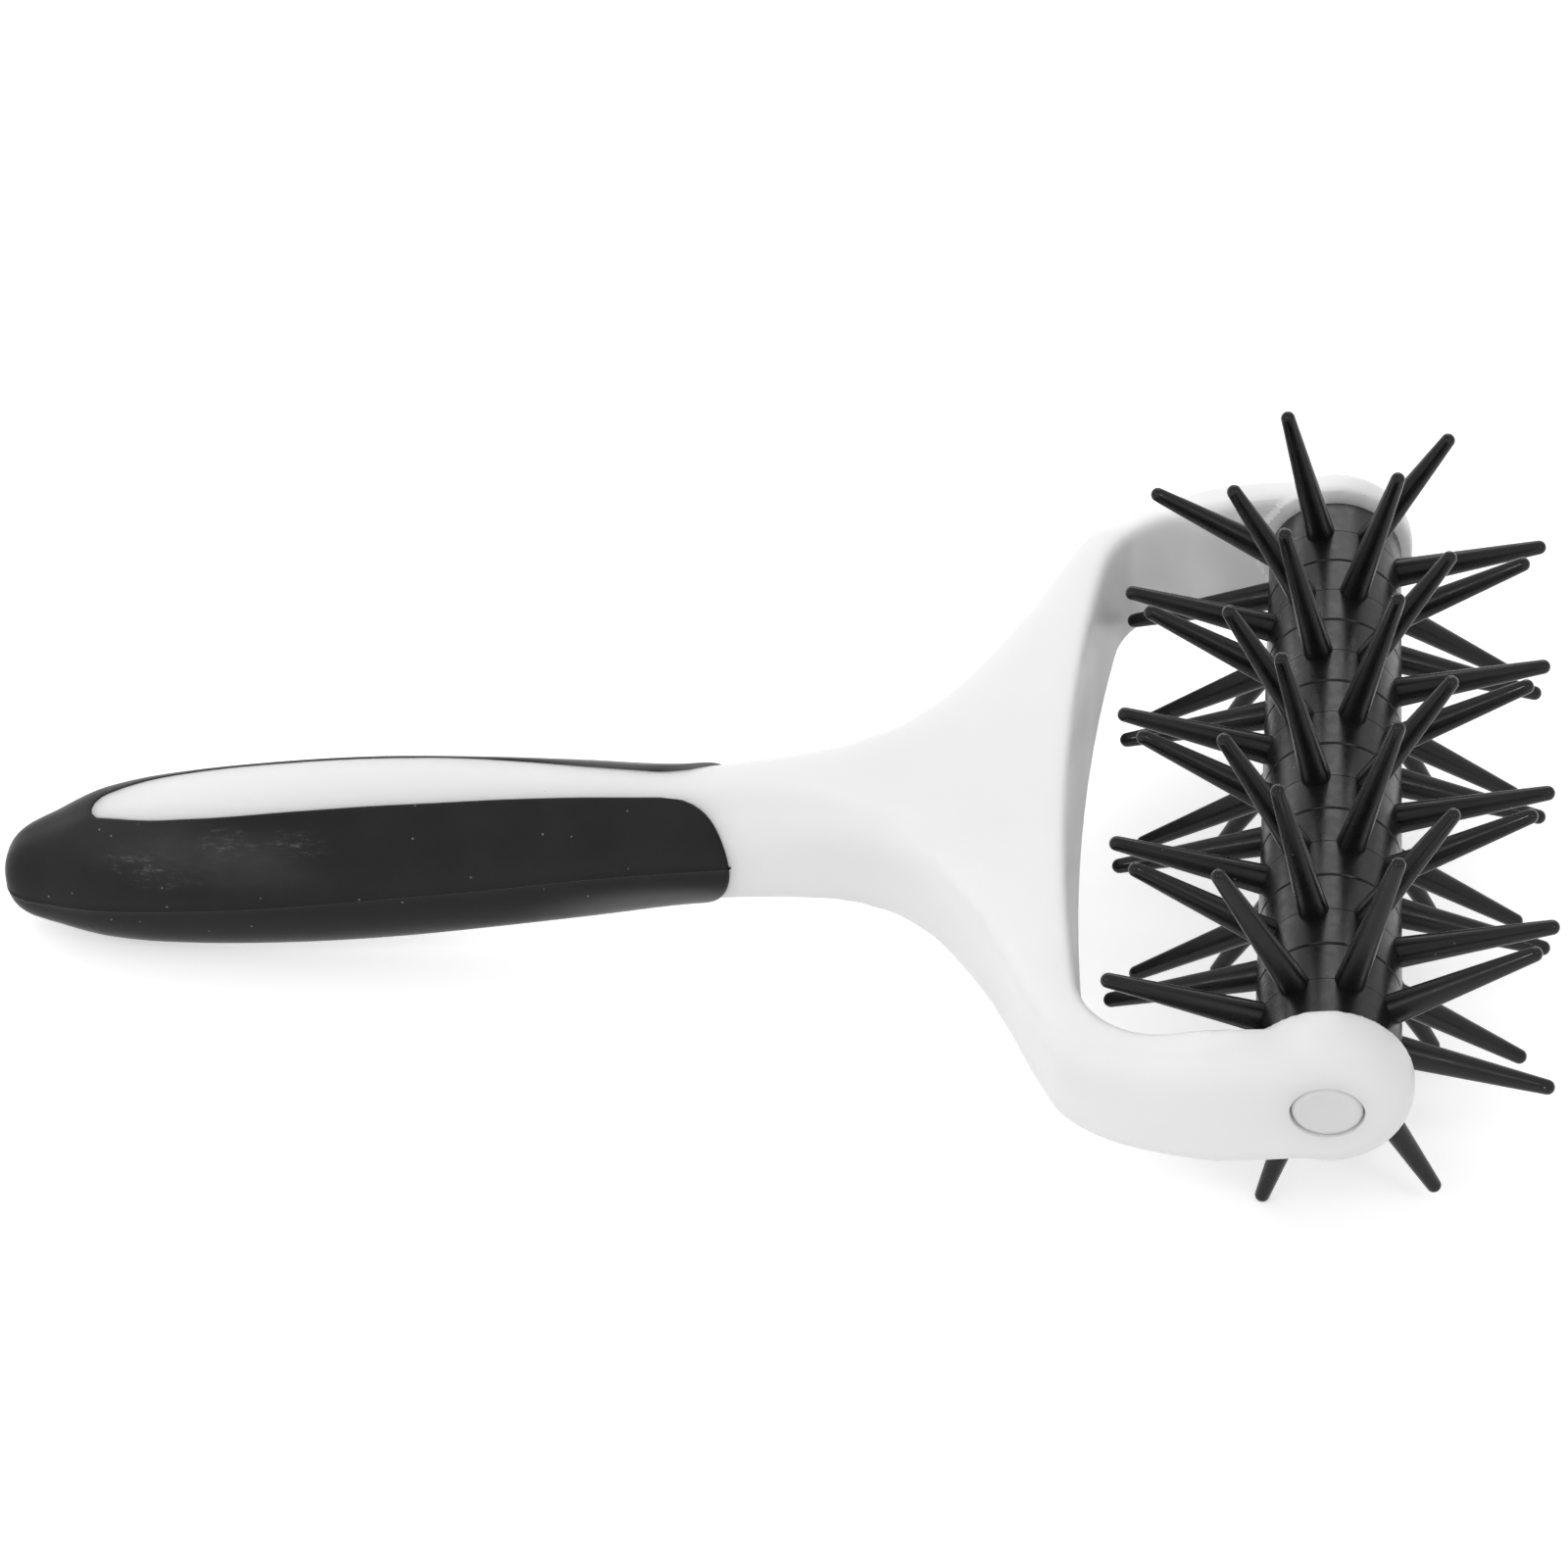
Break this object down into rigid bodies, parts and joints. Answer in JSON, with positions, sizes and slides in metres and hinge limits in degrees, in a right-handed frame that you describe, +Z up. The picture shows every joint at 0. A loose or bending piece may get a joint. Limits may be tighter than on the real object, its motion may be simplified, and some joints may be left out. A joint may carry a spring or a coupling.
{
  "type": "dough docker",
  "caption": "Dough docker: a forked handle with a soft grip carries a roller of staggered blunt pins that turns freely to prick rolled-out dough.",
  "frame": {"origin": "on the worktop, under the middle of the tool's bounding box, as the tool lies on its pins and the underside of its handle", "axes": "+X from the handle's end towards the roller, +Y along the roller's axle, +Z up"},
  "size_m": [0.2113, 0.1266, 0.058],
  "materials": {
    "white_plastic": "white moulded plastic, satin gloss with faint flow marks",
    "grip_rubber": "charcoal soft rubber, matte with fine grain and light scuffs",
    "spike_plastic": "black moulded plastic, semi gloss",
    "core_plastic": "black extruded plastic",
    "bearing_plastic": "natural acetal, matte",
    "steel": "drawn stainless steel rod"
  },
  "bodies": {
    "fork": {"yoke_frame": "white_plastic", "grip_overmould": "grip_rubber", "axle_shaft": "steel", "washer_near": "bearing_plastic", "washer_far": "bearing_plastic", "axle_cap_near": "white_plastic", "axle_cap_far": "white_plastic"},
    "roller": {"spike_ring_1": "spike_plastic", "spike_ring_2": "spike_plastic", "spike_ring_3": "spike_plastic", "spike_ring_4": "spike_plastic", "spike_ring_5": "spike_plastic", "spike_ring_6": "spike_plastic", "spike_ring_7": "spike_plastic", "spike_ring_8": "spike_plastic", "roller_core": "core_plastic", "bush_near": "bearing_plastic", "bush_far": "bearing_plastic"}
  },
  "joints": [
    {"name": "roller_spin", "type": "hinge", "parent": "fork", "child": "roller", "pos_m": [0.07662, 0, 0.02901], "axis": [0, 1, 0], "continuous": true}
  ]
}
